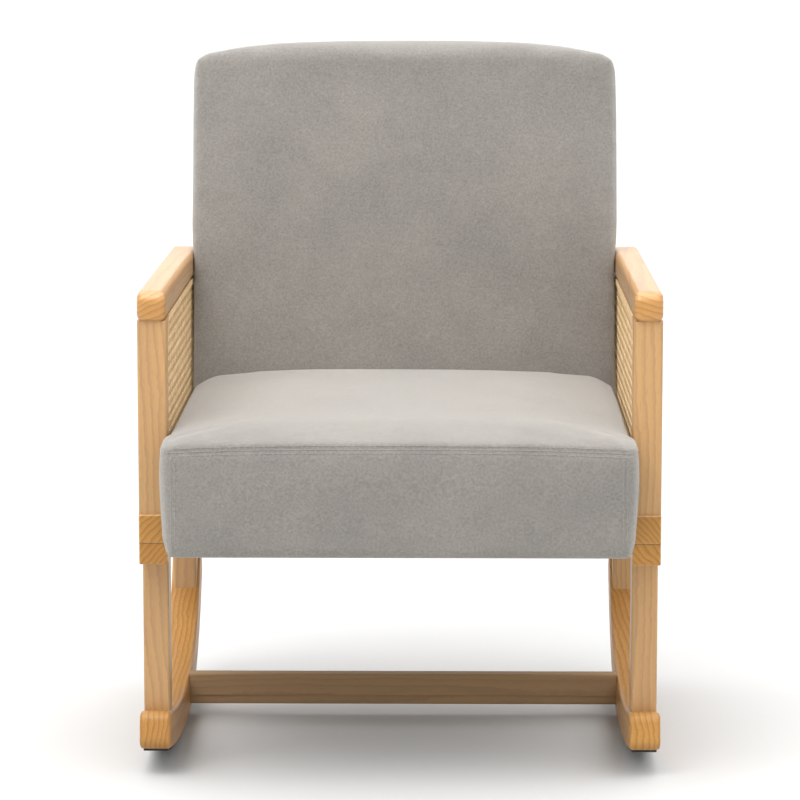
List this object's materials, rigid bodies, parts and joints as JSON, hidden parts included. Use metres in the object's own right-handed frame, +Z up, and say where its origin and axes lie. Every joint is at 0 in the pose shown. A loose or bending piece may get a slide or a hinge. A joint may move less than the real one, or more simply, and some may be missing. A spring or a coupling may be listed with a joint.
{
  "type": "rocking chair",
  "caption": "upholstered rocking armchair with a high back, woven cane arm panels in wooden side frames, and curved wooden rockers joined by a crossbar",
  "frame": {"origin": "on the floor, under the middle of the overall box", "axes": "+Z up, the sitter faces -Y, the sitter's left hand is at +X"},
  "size_m": [0.64, 0.6789, 0.8778],
  "materials": {
    "zinc_fixings": "zinc plated steel",
    "frame_wood": "plain sawn frame timber",
    "seat_fabric": "warm grey woven upholstery",
    "foam": "upholstery foam",
    "webbing": "elastic webbing",
    "rubberwood": "clear satin lacquer over light honey-coloured hardwood",
    "rubber_strip": "black rubber",
    "cane": "woven natural rattan cane",
    "dust_cloth": "black non-woven cloth",
    "spring_steel": "spring steel"
  },
  "bodies": {
    "root": {"back_bolts": "zinc_fixings", "back_bottom_rail": "frame_wood", "back_cover": "seat_fabric", "back_foam": "foam", "back_inserts": "zinc_fixings", "back_middle_rail": "frame_wood", "back_top_rail": "frame_wood", "back_webbing": "webbing", "base_rail_bolts": "zinc_fixings", "base_rail_inserts": "zinc_fixings", "crossbar": "rubberwood", "crossbar_barrel_nuts": "zinc_fixings", "crossbar_bolts": "zinc_fixings", "crossbar_dowels": "frame_wood", "left_antislip_strip": "rubber_strip", "left_arm_rail": "rubberwood", "left_armrest": "rubberwood", "left_back_stile": "frame_wood", "left_base_dowels": "frame_wood", "left_base_rail": "rubberwood", "left_cane_backing_bead": "cane", "left_cane_panel": "cane", "left_cane_spline": "cane", "left_frame_dowels": "frame_wood", "left_front_leg": "rubberwood", "left_front_post": "rubberwood", "left_rear_leg": "rubberwood", "left_rear_post": "rubberwood", "left_rocker": "rubberwood", "left_seat_rail": "frame_wood", "right_antislip_strip": "rubber_strip", "right_arm_rail": "rubberwood", "right_armrest": "rubberwood", "right_back_stile": "frame_wood", "right_base_dowels": "frame_wood", "right_base_rail": "rubberwood", "right_cane_backing_bead": "cane", "right_cane_panel": "cane", "right_cane_spline": "cane", "right_frame_dowels": "frame_wood", "right_front_leg": "rubberwood", "right_front_post": "rubberwood", "right_rear_leg": "rubberwood", "right_rear_post": "rubberwood", "right_rocker": "rubberwood", "right_seat_rail": "frame_wood", "seat_bolts": "zinc_fixings", "seat_corner_blocks": "frame_wood", "seat_cover": "seat_fabric", "seat_dust_cover": "dust_cloth", "seat_foam": "foam", "seat_front_rail": "frame_wood", "seat_inserts": "zinc_fixings", "seat_rear_rail": "frame_wood", "seat_spring_clips": "spring_steel", "seat_springs": "spring_steel"}
  },
  "joints": []
}
